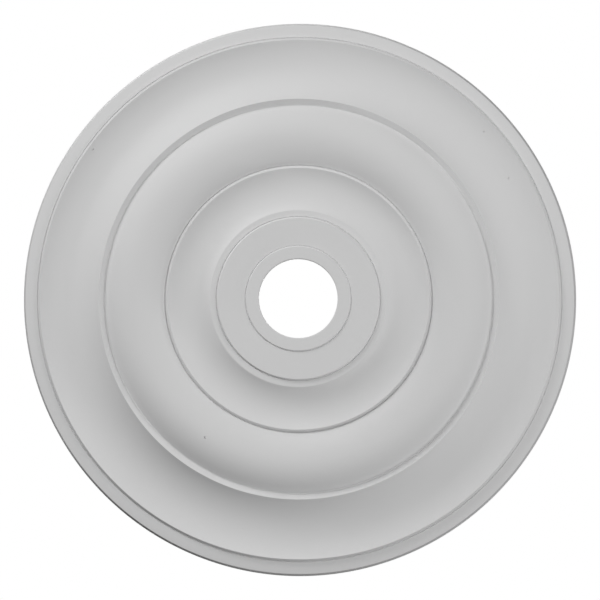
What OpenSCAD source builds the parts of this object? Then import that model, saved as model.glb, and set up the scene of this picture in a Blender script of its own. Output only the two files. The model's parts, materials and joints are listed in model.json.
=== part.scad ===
// Ceiling rose
//
// A round moulded rose with a central hole. It is fixed flat to a ceiling, around the outlet of a
// hanging light. The ceiling is the plane z = 0, and the mouldings stand down from it along -Z.
// One casting: plain rings on its face, a hollow back, and a flat land round its edge that meets
// the ceiling.
//
// The section is drawn once and turned about Z. In it, x is the radius and y is the depth below
// the ceiling. The outer cove takes up the diameter and the depth that the other rings leave.

/* [Overall] */
// Outer diameter
rose_d = 720; // [660:1:900]
// Depth from the ceiling to the face of the lip
rose_h = 66; // [54:0.5:90]
// Thickness of the casting behind the coves and the hub
wall = 10; // [7:0.5:12]

/* [Hub] */
// Diameter of the hole for the ceiling outlet
hole_d = 102; // [60:1:124]
// Diameter of the raised lip round the hole
lip_d = 134; // [126:1:180]
// Height of the lip above the canopy seat
lip_h = 2; // [1:0.1:4]
// Width of the lip's sloped side
lip_slope_w = 1.6; // [1:0.1:4]
// Diameter of the flat seat for the light's canopy
seat_d = 208; // [190:1:255]
// Height of the seat above the fillet round it
hub_step_h = 4; // [1.5:0.1:7]
// Width of the sloped side between the two
hub_step_w = 2.2; // [1.5:0.1:6]
// Width of the fillet between that side and the inner cove
hub_fillet_w = 8.2; // [4:0.2:16]

/* [Inner cove] */
// Width of the inner cove
in_cove_w = 55; // [44:0.5:66]
// How much lower its outer edge lies than its inner edge
in_cove_drop = 6.8; // [0:0.2:10]
// Depth of its curve below a straight line from edge to edge
in_cove_sag = 8; // [4:0.2:10]

/* [Torus] */
// Height of the small step down from the inner cove to the torus
torus_step_h = 4.2; // [2:0.1:7]
// Width of that step's sloped side
torus_step_w = 3.6; // [2:0.1:6]
// Width of the torus, the broad rounded ring
torus_w = 77.8; // [62:0.2:96]
// How far across its width its crest lies, measured from its inner edge, as a share of the width
torus_crest = 0.46; // [0.36:0.01:0.6]
// Rise of its inner flank to the crest
torus_rise = 9.4; // [5:0.2:14]
// Fall of its outer flank from the crest to the quirk
torus_fall = 18.4; // [12:0.2:22]

/* [Quirk and fillet] */
// Width of the quirk, the groove round the torus
quirk_w = 2.2; // [1.4:0.1:4]
// Depth of the quirk
quirk_h = 3; // [1.5:0.1:4]
// Width of the fillet round the quirk
fillet_w = 6.6; // [4:0.1:9]
// How much higher the fillet's outer edge stands than its inner edge
fillet_rise = 2; // [0:0.1:3]

/* [Outer cove] */
// Depth of the outer cove's curve below a straight line from edge to edge
out_cove_sag = 12; // [7:0.2:14]

/* [Rim] */
// Height of the step up from the rim to the outer cove
rim_step_h = 6.6; // [3:0.1:9]
// Width of that step's sloped side
rim_step_w = 4; // [2:0.1:6]
// Width of the rim
rim_w = 18.4; // [12:0.2:24]
// Rise of the rim from its outer edge to the foot of the step
rim_rise = 3; // [0:0.1:5]
// Thickness of the outer edge at the ceiling
edge_h = 11.5; // [8:0.5:16]
// How far the outer side leans in between the ceiling and the face of the rim
edge_draft = 2; // [0:0.1:4]
// Size of the small bevels on the outer edge and round the hole
bevel = 1; // [0.4:0.1:2]
// Width of the flat land that meets the ceiling
land_w = 21; // [12:1:30]

/* [Hidden] */
$fn = 180;

// Radii of the edges, from the hole outwards
hole_r = hole_d / 2;
lip_r = lip_d / 2;
seat_r = seat_d / 2;
hub_r = seat_r + hub_step_w + hub_fillet_w;
in_cove_r = hub_r + in_cove_w;
torus_in_r = in_cove_r + torus_step_w;
crest_r = torus_in_r + torus_crest * torus_w;
torus_out_r = torus_in_r + torus_w;
quirk_r = torus_out_r + quirk_w;
ridge_r = quirk_r + fillet_w;
rose_r = rose_d / 2;
rim_r = rose_r - rim_w;
out_cove_r = rim_r - rim_step_w;

// Depths of the same edges below the ceiling, from the lip outwards
seat_h = rose_h - lip_h;
hub_h = seat_h - hub_step_h;
in_cove_h = hub_h - in_cove_drop;
torus_in_h = in_cove_h - torus_step_h;
crest_h = torus_in_h + torus_rise;
torus_out_h = crest_h - torus_fall;
ridge_h = torus_out_h + fillet_rise;
rim_h = edge_h + rim_rise;
out_cove_h = rim_h + rim_step_h;

// The two coves, each from its inner edge to its outer edge
in_cove = [[hub_r, hub_h], [in_cove_r, in_cove_h]];
out_cove = [[ridge_r, ridge_h], [out_cove_r, out_cove_h]];

// How far a piece of the section runs past the edge that trims it
over = 1;

// A point past b, on the line from a
function past(a, b) = b + over * (b - a) / norm(b - a);

// The point at depth h on the line through a and b
function at_depth(a, b, h) = a + (b - a) * (h - a[1]) / (b[1] - a[1]);

// The arc from edge to edge that stands off the straight line between them by sag
function square_off(edges) =
    let (run = edges[1] - edges[0])
    [-run[1], run[0]] / norm(run);
function arc_radius(edges, sag) =
    pow(norm(edges[1] - edges[0]), 2) / (8 * sag) + sag / 2;
function arc_centre(edges, sag) =
    (edges[0] + edges[1]) / 2 + square_off(edges) * (arc_radius(edges, sag) - sag);

// The round that hollows a cove
module cove_round(edges, sag) {
    translate(arc_centre(edges, sag))
        circle(arc_radius(edges, sag));
}

// The round under one flank of the torus: level at the crest, and h lower w away from it. Its
// radius is a whole number of hundredths, so that both flanks meet at one crest.
module flank_round(w, h) {
    radius = round(50 * (w * w + h * h) / h) / 100;
    translate([crest_r, crest_h - radius])
        circle(radius);
}

// What is cut away over the inner flank, from the step at its edge to the crest
module inner_flank_trim() {
    torus_edge = [torus_in_r, torus_in_h];
    difference() {
        polygon([
            past(torus_edge, in_cove[1]),
            past(in_cove[1], torus_edge),
            [crest_r, torus_in_h - over],
            [crest_r, rose_h + over],
            [in_cove_r - over, rose_h + over]
        ]);
        flank_round(crest_r - torus_in_r, torus_rise);
    }
}

// What is cut away over the outer flank, from the crest out past the quirk's side
module outer_flank_trim() {
    difference() {
        polygon([
            [crest_r, torus_out_h - over],
            [torus_out_r + over, torus_out_h - over],
            [torus_out_r + over, rose_h + over],
            [crest_r, rose_h + over]
        ]);
        flank_round(torus_out_r - crest_r, torus_fall);
    }
}

// The casting's outline before its coves are hollowed and its torus is rounded
module blank() {
    quirk_floor_h = torus_out_h - quirk_h;
    hub_foot = [seat_r + hub_step_w, hub_h];
    fillet_foot = [quirk_r, torus_out_h];
    rim_foot = [rim_r, rim_h];
    rim_edge = [rose_r - edge_draft, edge_h];
    polygon([
        [hole_r, 0],
        [hole_r, rose_h - bevel],
        [hole_r + bevel, rose_h],
        [lip_r, rose_h],
        [lip_r + lip_slope_w, seat_h],
        [seat_r, seat_h],
        hub_foot,
        past(hub_foot, in_cove[0]),
        [in_cove_r, rose_h],
        [torus_out_r, rose_h],
        [torus_out_r, quirk_floor_h],
        [quirk_r, quirk_floor_h],
        fillet_foot,
        past(fillet_foot, out_cove[0]),
        past(rim_foot, out_cove[1]),
        rim_foot,
        [rose_r - edge_draft - bevel, edge_h],
        at_depth(rim_edge, [rose_r, 0], edge_h - bevel),
        [rose_r, 0]
    ]);
}

// The hollow back: a shallow cone from the land to the hub, and a deeper floor behind the hub
module hollow() {
    land_edge = [rose_r - land_w, 0];
    floor_h = arc_centre(in_cove, in_cove_sag)[1] - arc_radius(in_cove, in_cove_sag) - wall;
    cone_end = [hub_r - wall, floor_h];
    hub_floor_h = seat_h - wall;
    polygon([
        [0, -over],
        at_depth(cone_end, land_edge, -over),
        cone_end,
        [seat_r - wall, hub_floor_h],
        [0, hub_floor_h]
    ]);
}

module section() {
    difference() {
        blank();
        cove_round(in_cove, in_cove_sag);
        cove_round(out_cove, out_cove_sag);
        inner_flank_trim();
        outer_flank_trim();
        hollow();
    }
}

// The ceiling rose: one moulded casting
module ceiling_rose() {
    color("#e4e4e2")
        mirror([0, 0, 1])
            rotate_extrude()
                section();
}

ceiling_rose();
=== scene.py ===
import json
import math

import bpy
import bmesh
from mathutils import Matrix, Vector
from mathutils.bvhtree import BVHTree
from mathutils.kdtree import KDTree


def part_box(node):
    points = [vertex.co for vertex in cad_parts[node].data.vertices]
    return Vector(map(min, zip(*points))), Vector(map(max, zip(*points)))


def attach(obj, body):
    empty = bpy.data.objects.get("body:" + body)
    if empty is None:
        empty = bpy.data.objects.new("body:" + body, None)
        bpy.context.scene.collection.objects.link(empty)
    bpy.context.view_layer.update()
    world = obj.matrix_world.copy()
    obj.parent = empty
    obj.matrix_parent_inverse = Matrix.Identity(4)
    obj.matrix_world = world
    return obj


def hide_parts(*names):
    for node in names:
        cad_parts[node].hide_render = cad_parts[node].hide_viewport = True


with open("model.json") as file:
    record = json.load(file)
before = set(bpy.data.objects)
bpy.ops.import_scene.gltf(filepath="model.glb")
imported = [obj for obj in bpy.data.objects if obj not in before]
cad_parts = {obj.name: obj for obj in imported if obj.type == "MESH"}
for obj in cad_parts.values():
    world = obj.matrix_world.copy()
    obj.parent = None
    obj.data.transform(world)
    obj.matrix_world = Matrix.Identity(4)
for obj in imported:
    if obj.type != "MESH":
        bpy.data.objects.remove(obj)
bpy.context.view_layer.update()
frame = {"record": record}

# ---------------------------------------------------------------------------------------------
# The view: from straight below, as someone sees a rose on the ceiling, about two degrees off
# its axis. A long lens far away keeps the rings true. -Y is up in the view.
# ---------------------------------------------------------------------------------------------
view_distance = 7.0
view_width = 0.7813
off_axis = math.radians(2.2)
off_axis_towards = math.radians(-38)
aim = Vector((0.0006, 0.00053, -0.004))

camera_data = bpy.data.cameras.new("camera")
camera_data.lens = camera_data.sensor_width * view_distance / view_width
camera_data.clip_end = 60
camera = bpy.data.objects.new("camera", camera_data)
bpy.context.scene.collection.objects.link(camera)
forward = -Vector((
    math.sin(off_axis) * math.cos(off_axis_towards),
    -math.sin(off_axis) * math.sin(off_axis_towards),
    -math.cos(off_axis),
))
right = forward.cross(Vector((0, -1, 0))).normalized()
up = right.cross(forward)
camera.matrix_world = Matrix((right, up, -forward)).transposed().to_4x4()
camera.location = aim - view_distance * forward
bpy.context.scene.camera = camera
bpy.context.scene.view_settings.view_transform = "Standard"

# ---------------------------------------------------------------------------------------------
# The studio light: a soft lamp straight over the face, others round it that are strongest from
# the top left, and two over the back. The sky gives almost no light, so that the rose's outer
# side keeps its dark line.
# ---------------------------------------------------------------------------------------------
# name: direction round the face as seen, height over the face, strength, softness. All but the
# strength are in degrees, and a lamp over the back has a height below zero.
lamps = {
    "overhead": (90, 90, 0.303, 20),
    "key": (131, 32, 0.180, 14),
    "key_low": (131, 24, 0.125, 12),
    "key_lower": (135, 18, 0.026, 12),
    "graze_left_high": (140, 12, 0.073, 12),
    "graze_left": (145, 2, 0.119, 6),
    "top_fill": (58, 32, 0.055, 14),
    "top_fill_low": (62, 18, 0.038, 12),
    "right_fill": (353, 42, 0.085, 16),
    "right_fill_low": (5, 32, 0.070, 14),
    "graze_right_high": (330, 12, 0.062, 12),
    "graze_right": (326, 6, 0.091, 10),
    "graze_right_low": (328, 2, 0.079, 6),
    "over_back": (120, -52, 0.2, 30),
    "square_to_back": (90, -90, 0.4, 40),
}
for name, (towards, height, strength, softness) in lamps.items():
    lamp_data = bpy.data.lights.new(name, "SUN")
    lamp_data.energy = strength * math.pi
    lamp_data.angle = math.radians(softness)
    lamp = bpy.data.objects.new(name, lamp_data)
    bpy.context.scene.collection.objects.link(lamp)
    to_lamp = Vector((
        math.cos(math.radians(towards)) * math.cos(math.radians(height)),
        -math.sin(math.radians(towards)) * math.cos(math.radians(height)),
        -math.sin(math.radians(height)),
    ))
    lamp.rotation_mode = "QUATERNION"
    lamp.rotation_quaternion = to_lamp.to_track_quat("Z", "Y")

horizon = 0.72
sky_light = 0.02
world = bpy.data.worlds.new("sky")
bpy.context.scene.world = world
world.use_nodes = True
sky = world.node_tree
direction = sky.nodes.new("ShaderNodeTexCoord")
height_of = sky.nodes.new("ShaderNodeSeparateXYZ")
pale = sky.nodes.new("ShaderNodeValToRGB")
pale.color_ramp.elements[0].position = 0.0
pale.color_ramp.elements[0].color = (horizon, horizon, horizon, 1)
pale.color_ramp.elements[1].position = 0.9
pale.color_ramp.elements[1].color = (1, 1, 1, 1)
ray = sky.nodes.new("ShaderNodeLightPath")
seen = sky.nodes.new("ShaderNodeMixRGB")
seen.inputs["Color1"].default_value = (sky_light, sky_light, sky_light, 1)
sky.links.new(direction.outputs["Generated"], height_of.inputs[0])
sky.links.new(height_of.outputs["Z"], pale.inputs["Fac"])
sky.links.new(ray.outputs["Is Camera Ray"], seen.inputs["Fac"])
sky.links.new(pale.outputs["Color"], seen.inputs["Color2"])
sky.links.new(seen.outputs["Color"], sky.nodes["Background"].inputs["Color"])

# ---------------------------------------------------------------------------------------------
# The floor: plain, pale and wide, below the camera. It throws no light or shadow on the rose.
# ---------------------------------------------------------------------------------------------
floor_half = 60
floor_gap = 0.3
floor_depth = -(view_distance + floor_gap)
floor_mesh = bpy.data.meshes.new("floor")
floor_mesh.from_pydata(
    [(x * floor_half, y * floor_half, floor_depth)
     for x, y in ((-1, -1), (1, -1), (1, 1), (-1, 1))],
    [],
    [(0, 1, 2, 3)],
)
floor = bpy.data.objects.new("floor", floor_mesh)
bpy.context.scene.collection.objects.link(floor)
floor_paint = bpy.data.materials.new("floor_paint")
floor_paint.use_nodes = True
floor_surface = floor_paint.node_tree.nodes["Principled BSDF"]
floor_surface.inputs["Base Color"].default_value = (0.85, 0.85, 0.85, 1)
floor_surface.inputs["Roughness"].default_value = 0.9
floor_mesh.materials.append(floor_paint)
floor.visible_diffuse = False
floor.visible_glossy = False
floor.visible_shadow = False

# ---------------------------------------------------------------------------------------------
# The casting: one piece of rigid foam, poured in a turned mould, so its arrises are soft. It is
# primed white and glued to the ceiling by the flat land round its hollow back. Its section is
# drawn run by run, in radius and depth below the ceiling, and turned once round.
# ---------------------------------------------------------------------------------------------
mounts = {mount["name"]: mount for mount in frame["record"]["mounts"]}
lowest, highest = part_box("ceiling_rose")
mm = 0.001

# Sizes, from the hole outwards: a radius ends in _r, and a depth below the ceiling in _h
rose_r = highest.x
rose_h = -lowest.z
hole_r = mounts["outlet_hole"]["dims"]["r_mm"] * mm
seat_h = -mounts["canopy_seat"]["pos_m"][2]
wall = 10 * mm
lip_r = 67 * mm
lip_foot_r = lip_r + 1.6 * mm
seat_r = 104 * mm
hub_foot_r = seat_r + 2.2 * mm
hub_r = hub_foot_r + 8.2 * mm
hub_h = seat_h - 4 * mm
in_cove_r = hub_r + 55 * mm
in_cove_h = hub_h - 6.8 * mm
torus_in_r = in_cove_r + 3.6 * mm
torus_in_h = in_cove_h - 4.2 * mm
torus_w = 77.8 * mm
torus_out_r = torus_in_r + torus_w
crest_r = torus_in_r + 0.46 * torus_w
crest_h = torus_in_h + 9.4 * mm
torus_out_h = crest_h - 18.4 * mm
quirk_r = torus_out_r + 2.2 * mm
quirk_h = torus_out_h - 3 * mm
ridge_r = quirk_r + 6.6 * mm
ridge_h = torus_out_h + 2 * mm
rim_r = rose_r - 18.4 * mm
rim_h = 14.5 * mm
out_cove_r = rim_r - 4 * mm
out_cove_h = rim_h + 6.6 * mm
edge_h = 11.5 * mm
edge_draft = 3 * mm
land_r = rose_r - 21 * mm
hollow_h = 38.3 * mm

# Each edge of the section: its radius, its depth and how round the mould leaves it. Every step
# ends in a fine crevice at its foot, sunk a little into the face beyond it.
edges = {
    "Hole edge": (hole_r, rose_h, 1.2 * mm),
    "Lip edge": (lip_r, rose_h, 0.25 * mm),
    "Lip foot": (lip_foot_r - 0.1 * mm, seat_h - 1.1 * mm, 0.0),
    "Lip crevice": (lip_foot_r + 0.5 * mm, seat_h, 0.2 * mm),
    "Seat edge": (seat_r, seat_h, 0.3 * mm),
    "Seat foot": (hub_foot_r - 0.1 * mm, hub_h - 1.4 * mm, 0.0),
    "Seat crevice": (hub_foot_r + 0.6 * mm, hub_h, 0.2 * mm),
    "Hub edge": (hub_r, hub_h, 2.4 * mm),
    "Inner cove edge": (in_cove_r, in_cove_h, 0.8 * mm),
    "Torus inner foot": (torus_in_r, torus_in_h - 1.7 * mm, 0.0),
    "Torus crevice": (torus_in_r + 0.8 * mm, torus_in_h + 0.4 * mm, 0.2 * mm),
    "Torus crest": (crest_r, crest_h, 0.0),
    "Torus outer foot": (torus_out_r, torus_out_h, 0.5 * mm),
    "Quirk inner foot": (torus_out_r, quirk_h, 0.3 * mm),
    "Quirk outer foot": (quirk_r, quirk_h, 0.3 * mm),
    "Fillet edge": (quirk_r, torus_out_h - 1 * mm, 0.4 * mm),
    "Ridge": (ridge_r, ridge_h + 0.5 * mm, 0.6 * mm),
    "Outer cove edge": (out_cove_r, out_cove_h, 0.3 * mm),
    "Rim foot": (rim_r - 0.7 * mm, rim_h - 1.6 * mm, 0.0),
    "Rim crevice": (rim_r + 0.2 * mm, rim_h - 0.1 * mm, 0.3 * mm),
    "Rim edge": (rose_r - edge_draft, edge_h, 0.8 * mm),
    "Ceiling edge": (rose_r, 0.0, 0.4 * mm),
    "Land edge": (land_r, 0.0, 1.0 * mm),
    "Hollow corner": (hub_r - wall, hollow_h, 6 * mm),
    "Hub hollow edge": (seat_r - wall, seat_h - wall, 5 * mm),
    "Hole back edge": (hole_r, seat_h - wall, 0.8 * mm),
}


def level_bow(run_w, run_h):
    """How far an arc bows from its chord, if it sets out level and falls run_h over run_w."""
    radius = (run_w ** 2 + run_h ** 2) / (2 * run_h)
    return radius - math.sqrt(radius ** 2 - (run_w ** 2 + run_h ** 2) / 4)


# Both flanks of the torus set out level from its crest
inner_flank = level_bow(
    crest_r - edges["Torus crevice"][0], crest_h - edges["Torus crevice"][1])
outer_flank = level_bow(torus_out_r - crest_r, crest_h - torus_out_h)

# Each run, from one edge to the next: how far it bows out from straight, or in if that is below
# zero, the spacing of its points, and whether the primer leaves it bare
runs = {
    "Lip": (0, 8 * mm, 0),
    "Lip side": (0.1 * mm, 0.8 * mm, 0),
    "Lip crevice side": (0, 4 * mm, 0),
    "Seat": (0, 8 * mm, 0),
    "Seat side": (0.2 * mm, 1 * mm, 0),
    "Seat crevice side": (0, 4 * mm, 0),
    "Hub fillet": (0, 6 * mm, 0),
    "Inner cove": (-8 * mm, 2.2 * mm, 0),
    "Torus step": (0.7 * mm, 1.2 * mm, 0),
    "Torus crevice side": (0, 4 * mm, 0),
    "Torus inner flank": (inner_flank, 2.6 * mm, 0),
    "Torus outer flank": (outer_flank, 2.4 * mm, 0),
    "Quirk inner side": (0, 4 * mm, 0),
    "Quirk floor": (0, 4 * mm, 0),
    "Quirk outer side": (0, 4 * mm, 0),
    "Fillet": (0, 5 * mm, 0),
    "Outer cove": (-12 * mm, 2.8 * mm, 0),
    "Rim step": (0.5 * mm, 1.2 * mm, 0),
    "Rim crevice side": (0, 4 * mm, 0),
    "Rim": (0.25 * mm, 3.4 * mm, 0),
    "Outer side": (0, 6 * mm, 0),
    "Land": (0, 10 * mm, 1),
    "Hollow": (0, 24 * mm, 1),
    "Hub hollow side": (0, 8 * mm, 1),
    "Hub hollow": (0, 14 * mm, 1),
    "Hole side": (0, 6 * mm, 0),
}


class Bench:
    """A node tree under construction: nodes are added by what they do, and wired as they come."""

    def __init__(self, tree):
        self.tree = tree

    def take(self, name, kind, value=None):
        socket = self.tree.interface.new_socket(name, in_out="INPUT", socket_type=kind)
        if value is not None:
            socket.default_value = value
        return self.add("NodeGroupInput").outputs[name]

    def add(self, kind, *wires, **settings):
        node = self.tree.nodes.new(kind)
        for key, value in settings.items():
            setattr(node, key, value)
        for place, wire in wires:
            if isinstance(wire, bpy.types.NodeSocket):
                self.tree.links.new(wire, node.inputs[place])
            else:
                node.inputs[place].default_value = wire
        return node

    def sum(self, operation, *values):
        wires = list(enumerate(values))
        return self.add("ShaderNodeMath", *wires, operation=operation).outputs[0]

    def vector(self, operation, *values):
        wires = list(enumerate(values))
        return self.add("ShaderNodeVectorMath", *wires, operation=operation).outputs["Vector"]

    def give(self, name, wire):
        self.tree.interface.new_socket(name, in_out="OUTPUT", socket_type="NodeSocketGeometry")
        self.add("NodeGroupOutput", (name, wire))


# One run of the section: a line or an arc, with a point close to each end so that the rounding
# of the arris stays where it is. That point lies a little further in than the rounding reaches,
# but no more than a third of the way along.
lead = 1.7
longest_lead = 0.33
arc_points = 96
straight_within = 1e-6
run = Bench(bpy.data.node_groups.new("section_run", "GeometryNodeTree"))
start = run.take("Start", "NodeSocketVector")
end = run.take("End", "NodeSocketVector")
bow = run.take("Bow", "NodeSocketFloat")
spacing = run.take("Spacing", "NodeSocketFloat")
start_round = run.take("Start round", "NodeSocketFloat")
end_round = run.take("End round", "NodeSocketFloat")
bare = run.take("Bare", "NodeSocketFloat")
along = run.vector("NORMALIZE", run.vector("SUBTRACT", end, start))
across = run.vector("CROSS_PRODUCT", (0, 0, 1), along)
middle_of = run.vector("MULTIPLY", run.vector("ADD", start, end), (0.5, 0.5, 0.5))
off = run.add("ShaderNodeVectorMath", (0, across), ("Scale", bow), operation="SCALE").outputs[0]
arc = run.add(
    "GeometryNodeCurveArc", ("Resolution", arc_points), ("Start", start),
    ("Middle", run.vector("ADD", middle_of, off)), ("End", end), mode="POINTS",
)
line = run.add("GeometryNodeCurvePrimitiveLine", ("Start", start), ("End", end))
bowed = run.sum("GREATER_THAN", run.sum("ABSOLUTE", bow), straight_within)
path = run.add(
    "GeometryNodeSwitch", ("Switch", bowed), ("False", line.outputs[0]), ("True", arc.outputs[0]),
    input_type="GEOMETRY",
).outputs[0]
length = run.add("GeometryNodeCurveLength", (0, path)).outputs[0]
longest = run.sum("MULTIPLY", length, longest_lead)
lead_in = run.sum("MINIMUM", run.sum("MULTIPLY", start_round, lead), longest)
lead_out = run.sum("MINIMUM", run.sum("MULTIPLY", end_round, lead), longest)
steps = run.sum("ADD", run.sum("CEIL", run.sum("DIVIDE", length, spacing)), 3)
points = run.add("GeometryNodeResampleCurve", ("Curve", path), ("Count", steps), mode="COUNT")
index = run.add("GeometryNodeInputIndex").outputs[0]
share = run.sum("DIVIDE", run.sum("SUBTRACT", index, 1), run.sum("SUBTRACT", steps, 3))
inner = run.sum("SUBTRACT", run.sum("SUBTRACT", length, lead_in), lead_out)
travel = run.sum("ADD", lead_in, run.sum("MULTIPLY", inner, share))
first = run.add("GeometryNodeCurveEndpointSelection", ("Start Size", 1), ("End Size", 0)).outputs[0]
last = run.add("GeometryNodeCurveEndpointSelection", ("Start Size", 0), ("End Size", 1)).outputs[0]
travel = run.sum("MULTIPLY", travel, run.sum("SUBTRACT", 1, first))
travel = run.sum("ADD", run.sum("MULTIPLY", travel, run.sum("SUBTRACT", 1, last)),
                 run.sum("MULTIPLY", length, last))
sampled = run.add("GeometryNodeSampleCurve", ("Curves", path), ("Length", travel), mode="LENGTH")
placed = run.add(
    "GeometryNodeSetPosition", (0, points.outputs[0]), ("Position", sampled.outputs["Position"]))
rounding = run.sum("ADD", run.sum("MULTIPLY", first, start_round),
                   run.sum("MULTIPLY", last, end_round))
marked = run.add(
    "GeometryNodeStoreNamedAttribute", (0, placed.outputs[0]), ("Name", "arris_round"),
    ("Value", rounding), data_type="FLOAT", domain="POINT",
)
marked = run.add(
    "GeometryNodeStoreNamedAttribute", (0, marked.outputs[0]), ("Name", "bare_back"),
    ("Value", bare), data_type="FLOAT", domain="POINT",
)
run.give("Run", marked.outputs[0])

# The whole section, its arrises rounded, then turned round the axis and left slightly uneven.
# The land stays flat, and so does all else within half a millimetre of the ceiling.
join_within = 0.01 * mm
least_round = 0.05 * mm
arris_points = 4
flat_to = -0.5 * mm
casting = Bench(bpy.data.node_groups.new("turned_casting", "GeometryNodeTree"))
casting.take("Base", "NodeSocketGeometry")
joined = casting.tree.nodes.new("GeometryNodeJoinGeometry")
edge_wires, round_wires = {}, {}
for name, (radius, depth, softness) in edges.items():
    edge_wires[name] = casting.take(name, "NodeSocketVector", (radius, depth, 0))
    round_wires[name] = casting.take(name + " round", "NodeSocketFloat", softness)
edge_names = list(edges)
for i, (name, (bow_of, spacing_of, bare_of)) in enumerate(runs.items()):
    from_edge, to_edge = edge_names[i], edge_names[(i + 1) % len(edge_names)]
    made = casting.tree.nodes.new("GeometryNodeGroup")
    made.node_tree = run.tree
    casting.tree.links.new(edge_wires[from_edge], made.inputs["Start"])
    casting.tree.links.new(edge_wires[to_edge], made.inputs["End"])
    casting.tree.links.new(round_wires[from_edge], made.inputs["Start round"])
    casting.tree.links.new(round_wires[to_edge], made.inputs["End round"])
    made.inputs["Spacing"].default_value = spacing_of
    made.inputs["Bare"].default_value = bare_of
    if bow_of:
        casting.tree.links.new(
            casting.take(name + " bow", "NodeSocketFloat", bow_of), made.inputs["Bow"])
    casting.tree.links.new(made.outputs[0], joined.inputs[0])
facets = casting.take("Facets round", "NodeSocketInt", 288)
uneven = casting.take("Unevenness", "NodeSocketFloat", 0.1 * mm)
pieces = casting.add("GeometryNodeCurveToMesh", (0, joined.outputs[0]))
outline = casting.add(
    "GeometryNodeMergeByDistance", (0, pieces.outputs[0]), ("Distance", join_within))
loop = casting.add("GeometryNodeMeshToCurve", (0, outline.outputs[0]))
arris = casting.add("GeometryNodeInputNamedAttribute", ("Name", "arris_round"), data_type="FLOAT")
is_arris = casting.sum("GREATER_THAN", arris.outputs[0], least_round)
section = casting.add(
    "GeometryNodeFilletCurve", ("Curve", loop.outputs[0]),
    ("Count", casting.sum("ADD", casting.sum("MULTIPLY", is_arris, arris_points), 1)),
    ("Radius", casting.sum("MULTIPLY", arris.outputs[0], is_arris)), ("Limit Radius", True),
    mode="POLY",
)
pull = casting.add(
    "ShaderNodeCombineXYZ", ("X", casting.sum("MULTIPLY", rose_r, -1)), ("Y", 0.0), ("Z", 0.0))
pulled = casting.add(
    "GeometryNodeSetPosition", (0, section.outputs[0]), ("Offset", pull.outputs[0]))
track = casting.add(
    "GeometryNodeCurvePrimitiveCircle", ("Resolution", facets), ("Radius", rose_r), mode="RADIUS")
turned = casting.add(
    "GeometryNodeCurveToMesh", (0, track.outputs[0]), (1, pulled.outputs[0]))
position = casting.add("GeometryNodeInputPosition").outputs[0]
noise = casting.add("ShaderNodeTexNoise", ("Vector", position), ("Scale", 12.0), ("Detail", 2.0))
normal = casting.add("GeometryNodeInputNormal").outputs[0]
depth_of = casting.add("ShaderNodeSeparateXYZ", (0, position)).outputs["Z"]
free = casting.sum("LESS_THAN", depth_of, flat_to)
swing = casting.sum("MULTIPLY", casting.sum("SUBTRACT", noise.outputs[0], 0.5),
                    casting.sum("MULTIPLY", uneven, free))
shift = casting.add(
    "ShaderNodeVectorMath", (0, normal), ("Scale", swing), operation="SCALE").outputs[0]
cast = casting.add("GeometryNodeSetPosition", (0, turned.outputs[0]), ("Offset", shift))
smooth = casting.add("GeometryNodeSetShadeSmooth", (0, cast.outputs[0]))
whole = casting.add("GeometryNodeRealizeInstances", (0, smooth.outputs[0]))
primed_foam = bpy.data.materials.new("primed_foam")
finished = casting.add("GeometryNodeSetMaterial", (0, whole.outputs[0]), ("Material", primed_foam))
casting.give("Casting", finished.outputs[0])

seed_mesh = bpy.data.meshes.new("rose_casting")
maker = bpy.data.objects.new("rose_maker", seed_mesh)
bpy.context.scene.collection.objects.link(maker)
modifier = maker.modifiers.new("turned_casting", "NODES")
modifier.node_group = casting.tree
for item in casting.tree.interface.items_tree:
    if item.in_out == "INPUT" and item.socket_type == "NodeSocketVector":
        modifier[item.identifier] = (edges[item.name][0], edges[item.name][1], 0.0)
    elif item.in_out == "INPUT" and item.socket_type == "NodeSocketFloat":
        modifier[item.identifier] = float(item.default_value)
    elif item.in_out == "INPUT" and item.socket_type == "NodeSocketInt":
        modifier[item.identifier] = int(item.default_value)
bpy.context.view_layer.update()
evaluated = maker.evaluated_get(bpy.context.evaluated_depsgraph_get())
plain_mesh = bpy.data.meshes.new_from_object(evaluated)
bpy.data.objects.remove(maker)
shell = bmesh.new()
shell.from_mesh(plain_mesh)
bmesh.ops.recalc_face_normals(shell, faces=shell.faces)
shell.to_mesh(plain_mesh)

# Air pits, where a bubble lay against the mould: how far out each one is, in which direction
# (degrees, as seen), how wide it is, and which way it opens. Those in the back follow a spiral.
pits = [
    (216.2 * mm, 236.1, 3.3 * mm, "face"),
    (324 * mm, 42.2, 2.3 * mm, "face"),
    (314 * mm, 30, 2.4 * mm, "face"),
    (307 * mm, 256, 1.4 * mm, "face"),
    (332 * mm, 144, 2.7 * mm, "face"),
]
back_pits = 14
innermost_pit, pit_spacing = 130 * mm, 14.5 * mm
smallest_pit, pit_growth, pit_sizes = 1.6 * mm, 0.7 * mm, 4
spiral_turn = 137.5
for i in range(back_pits):
    reach = innermost_pit + pit_spacing * i
    width = smallest_pit + pit_growth * (i % pit_sizes)
    pits.append((reach, spiral_turn * i, width, "back"))
surface_of = BVHTree.FromBMesh(shell)
shell.free()
bubbles = bmesh.new()
bubble_stretch = 2.4
pit_centres = []
for reach, towards, width, side in pits:
    inward = -1 if side == "back" else 1
    x = reach * math.cos(math.radians(towards))
    y = -reach * math.sin(math.radians(towards))
    centre, _, _, _ = surface_of.ray_cast(Vector((x, y, -inward)), Vector((0, 0, inward)))
    pit_centres.append(centre)
    bmesh.ops.create_icosphere(
        bubbles, subdivisions=2, radius=width / 2,
        matrix=Matrix.Translation(centre) @ Matrix.Diagonal((1, 1, bubble_stretch, 1)))
for face in bubbles.faces:
    face.smooth = True
bubble_mesh = bpy.data.meshes.new("bubbles")
bubbles.to_mesh(bubble_mesh)
bubbles.free()
bubble_mesh.materials.append(primed_foam)
bubble = bpy.data.objects.new("bubbles", bubble_mesh)
bpy.context.scene.collection.objects.link(bubble)
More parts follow.
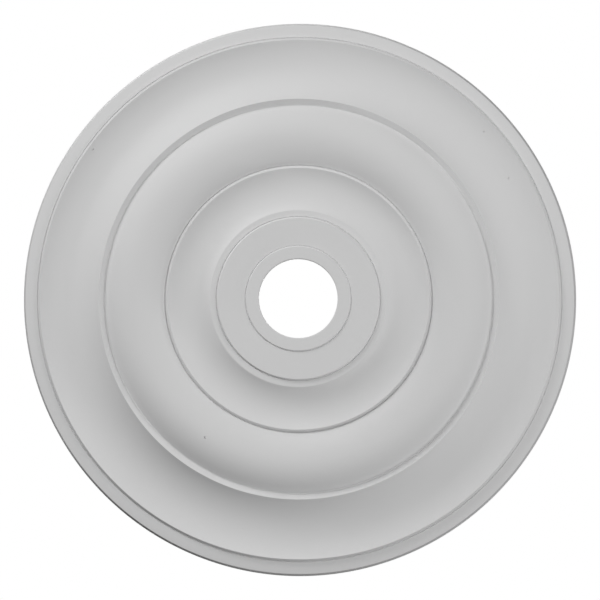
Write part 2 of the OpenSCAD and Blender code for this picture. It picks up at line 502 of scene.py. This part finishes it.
plain = bpy.data.objects.new("plain_casting", plain_mesh)
bpy.context.scene.collection.objects.link(plain)
pitting = plain.modifiers.new("pits", "BOOLEAN")
pitting.operation = "DIFFERENCE"
pitting.solver = "EXACT"
pitting.object = bubble
bpy.context.view_layer.update()
pitted = plain.evaluated_get(bpy.context.evaluated_depsgraph_get())
rose_mesh = bpy.data.meshes.new_from_object(pitted)
rose_mesh.name = "rose_casting"
bpy.data.objects.remove(plain)
bpy.data.objects.remove(bubble)
sharp_angle = 35
rose_mesh.set_sharp_from_angle(angle=math.radians(sharp_angle))

# A pit in the back shows bare foam, and a pit in the face is primed like the rest
corners = KDTree(len(rose_mesh.vertices))
for vert in rose_mesh.vertices:
    corners.insert(vert.co, vert.index)
corners.balance()
bareness = rose_mesh.attributes["bare_back"].data
pit_reach = 1.4
for centre, (_, _, width, side) in zip(pit_centres, pits):
    for _, nearby, _ in corners.find_range(centre, pit_reach * width):
        bareness[nearby].value = 1.0 if side == "back" else 0.0
rose = bpy.data.objects.new("rose_casting", rose_mesh)
bpy.context.scene.collection.objects.link(rose)

# The finish: matt white primer, sprayed thin, so that it has a faint orange peel and a slightly
# uneven sheen. It stops at the back, where the warmer, duller foam shows its fine cells.
primed_foam.use_nodes = True
finish = Bench(primed_foam.node_tree)
surface = finish.tree.nodes["Principled BSDF"]
surface.inputs["IOR"].default_value = 1.46
surface.inputs["Specular IOR Level"].default_value = 0.3
spot = finish.add("ShaderNodeTexCoord").outputs["Object"]


def speckle(scale, detail):
    """An even grain over the casting: how many grains to the metre, and how rich they are."""
    return finish.add(
        "ShaderNodeTexNoise", ("Vector", spot), ("Scale", scale), ("Detail", detail)).outputs[0]


def blend(amount, first, second, kind="RGBA"):
    """One colour or number passing into another. The node has its own sockets for each kind."""
    mix = finish.add("ShaderNodeMix", data_type=kind)
    first_at, second_at, mixed_at = (6, 7, 2) if kind == "RGBA" else (2, 3, 0)
    for at, value in ((0, amount), (first_at, first), (second_at, second)):
        if isinstance(value, bpy.types.NodeSocket):
            finish.tree.links.new(value, mix.inputs[at])
        else:
            mix.inputs[at].default_value = value
    return mix.outputs[mixed_at]


back = finish.add("ShaderNodeAttribute", attribute_name="bare_back").outputs["Fac"]
overspray_drift = 0.9
overspray = finish.sum("MULTIPLY", finish.sum("SUBTRACT", speckle(45, 4), 0.5), overspray_drift)
bare_foam = finish.add(
    "ShaderNodeMapRange", ("Value", finish.sum("ADD", back, overspray)),
    ("From Min", 0.35), ("From Max", 0.85), interpolation_type="SMOOTHSTEP",
).outputs[0]
primer_low, primer_high = (0.806, 0.806, 0.806, 1), (0.834, 0.834, 0.834, 1)
primer_speck, speck_strength = (0.74, 0.74, 0.74, 1), 0.06
foam_low, foam_high = (0.70, 0.64, 0.52, 1), (0.80, 0.75, 0.64, 1)
foam_cell, cell_strength = (0.60, 0.53, 0.40, 1), 0.25
cells = finish.add("ShaderNodeTexVoronoi", ("Vector", spot), ("Scale", 620)).outputs["Distance"]
primer = blend(speckle(9, 3), primer_low, primer_high)
specks = finish.sum("MULTIPLY", speckle(900, 2), speck_strength)
primer_coat = blend(specks, primer, primer_speck)
foam = blend(speckle(14, 5), foam_low, foam_high)
foam_back = blend(finish.sum("MULTIPLY", cells, cell_strength), foam, foam_cell)
finish.tree.links.new(blend(bare_foam, primer_coat, foam_back), surface.inputs["Base Color"])
primer_rough, primer_unevenness, foam_rough = 0.52, 0.16, 0.86
sheen = finish.sum("ADD", primer_rough, finish.sum("MULTIPLY", speckle(38, 3), primer_unevenness))
finish.tree.links.new(blend(bare_foam, sheen, foam_rough, "FLOAT"), surface.inputs["Roughness"])
orange_peel = finish.add(
    "ShaderNodeBump", ("Height", speckle(380, 2)), ("Strength", 0.5), ("Distance", 0.06 * mm))
stipple = finish.add(
    "ShaderNodeBump", ("Height", speckle(2100, 2)), ("Strength", 0.5), ("Distance", 0.015 * mm),
    ("Normal", orange_peel.outputs[0]))
grain = finish.add(
    "ShaderNodeBump", ("Height", finish.sum("MULTIPLY", cells, bare_foam)), ("Strength", 0.8),
    ("Distance", 0.4 * mm), ("Normal", stipple.outputs[0]))
finish.tree.links.new(grain.outputs[0], surface.inputs["Normal"])

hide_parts("ceiling_rose")
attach(rose, "root")
